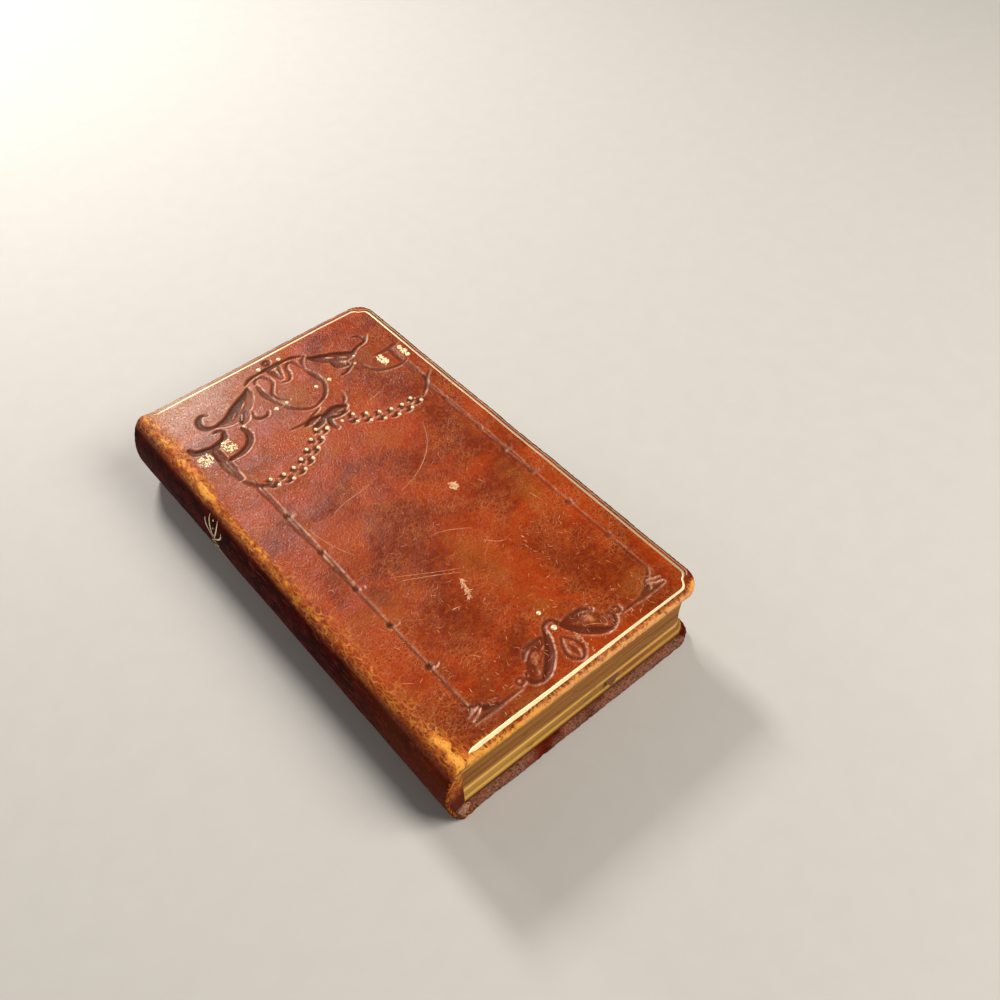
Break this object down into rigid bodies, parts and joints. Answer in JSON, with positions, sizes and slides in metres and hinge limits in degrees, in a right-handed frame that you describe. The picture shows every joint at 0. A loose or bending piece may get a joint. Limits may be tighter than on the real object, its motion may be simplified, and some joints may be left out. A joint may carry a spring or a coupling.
{
  "type": "prayer book",
  "caption": "Small leather-bound prayer book with a rounded spine, two hinged covers, sewn gilt-edged sections, turning end leaves and a ribbon marker.",
  "frame": {"origin": "on the underside of the back cover, below the middle of the closed book's box", "axes": "+X from the spine to the fore-edge, +Y from the tail to the head, +Z from the back cover to the front cover"},
  "size_m": [0.0676, 0.1194, 0.0203],
  "materials": {
    "cover_leather": "worn polished calf, blind and gold tooled",
    "spine_leather": "dark worn calf, orange where rubbed",
    "board": "grey-brown millboard",
    "infill_paper": "rough infill paper",
    "endpaper": "aged cream paper",
    "gilt_paper": "aged paper with gilt edges",
    "lining_cloth": "open-weave glued cloth",
    "tape_cloth": "plain woven linen tape",
    "thread": "waxed linen thread",
    "endband_silk": "worked silk in two colours",
    "ribbon_silk": "faded silk ribbon, frayed end"
  },
  "bodies": {
    "text_block": {"spine_leather": "spine_leather", "spine_inlay": "board", "spine_lining": "lining_cloth", "sewing_tapes": "tape_cloth", "sewing_thread": "thread", "headband": "endband_silk", "tailband": "endband_silk", "ribbon_marker": "ribbon_silk", "section_1": "gilt_paper", "section_2": "gilt_paper", "section_3": "gilt_paper", "section_4": "gilt_paper", "section_5": "gilt_paper", "section_6": "gilt_paper", "section_7": "gilt_paper", "section_8": "gilt_paper", "section_9": "gilt_paper", "section_10": "gilt_paper", "section_11": "gilt_paper", "section_12": "gilt_paper", "section_13": "gilt_paper", "section_14": "gilt_paper"},
    "front_cover": {"front_leather": "cover_leather", "front_board": "board", "front_infill": "infill_paper", "front_pastedown": "endpaper"},
    "back_cover": {"back_leather": "cover_leather", "back_board": "board", "back_infill": "infill_paper", "back_pastedown": "endpaper"},
    "front_flyleaf": {"front_flyleaf": "endpaper"},
    "title_leaf": {"title_leaf": "gilt_paper"},
    "front_leaves_outer": {"front_leaves_outer": "gilt_paper"},
    "front_leaves_inner": {"front_leaves_inner": "gilt_paper"},
    "back_flyleaf": {"back_flyleaf": "endpaper"},
    "back_leaves": {"back_leaves": "gilt_paper"}
  },
  "joints": [
    {"name": "front_cover_hinge", "type": "hinge", "parent": "text_block", "child": "front_cover", "pos_m": [-0.03005, 0, 0.0175], "axis": [0, -1, 0], "range_deg": [0, 180]},
    {"name": "back_cover_hinge", "type": "hinge", "parent": "text_block", "child": "back_cover", "pos_m": [-0.03005, 0, 0.0028], "axis": [0, 1, 0], "range_deg": [0, 180]},
    {"name": "front_flyleaf_turn", "type": "hinge", "parent": "text_block", "child": "front_flyleaf", "pos_m": [-0.03005, 0, 0.0175], "axis": [0, -1, 0], "range_deg": [0, 172.8]},
    {"name": "title_leaf_turn", "type": "hinge", "parent": "text_block", "child": "title_leaf", "pos_m": [-0.03005, 0, 0.0175], "axis": [0, -1, 0], "range_deg": [0, 154.8]},
    {"name": "front_leaves_outer_turn", "type": "hinge", "parent": "text_block", "child": "front_leaves_outer", "pos_m": [-0.03005, 0, 0.0175], "axis": [0, -1, 0], "range_deg": [0, 129.6]},
    {"name": "front_leaves_inner_turn", "type": "hinge", "parent": "text_block", "child": "front_leaves_inner", "pos_m": [-0.03005, 0, 0.0175], "axis": [0, -1, 0], "range_deg": [0, 90]},
    {"name": "back_flyleaf_turn", "type": "hinge", "parent": "text_block", "child": "back_flyleaf", "pos_m": [-0.03005, 0, 0.0028], "axis": [0, 1, 0], "range_deg": [0, 169.2]},
    {"name": "back_leaves_turn", "type": "hinge", "parent": "text_block", "child": "back_leaves", "pos_m": [-0.03005, 0, 0.0028], "axis": [0, 1, 0], "range_deg": [0, 126]}
  ],
  "couplings": [
    {"joint": "front_flyleaf_turn", "follows": "front_cover_hinge", "ratio": 0.96},
    {"joint": "title_leaf_turn", "follows": "front_cover_hinge", "ratio": 0.86},
    {"joint": "front_leaves_outer_turn", "follows": "front_cover_hinge", "ratio": 0.72},
    {"joint": "front_leaves_inner_turn", "follows": "front_cover_hinge", "ratio": 0.5},
    {"joint": "back_flyleaf_turn", "follows": "back_cover_hinge", "ratio": 0.94},
    {"joint": "back_leaves_turn", "follows": "back_cover_hinge", "ratio": 0.7}
  ]
}
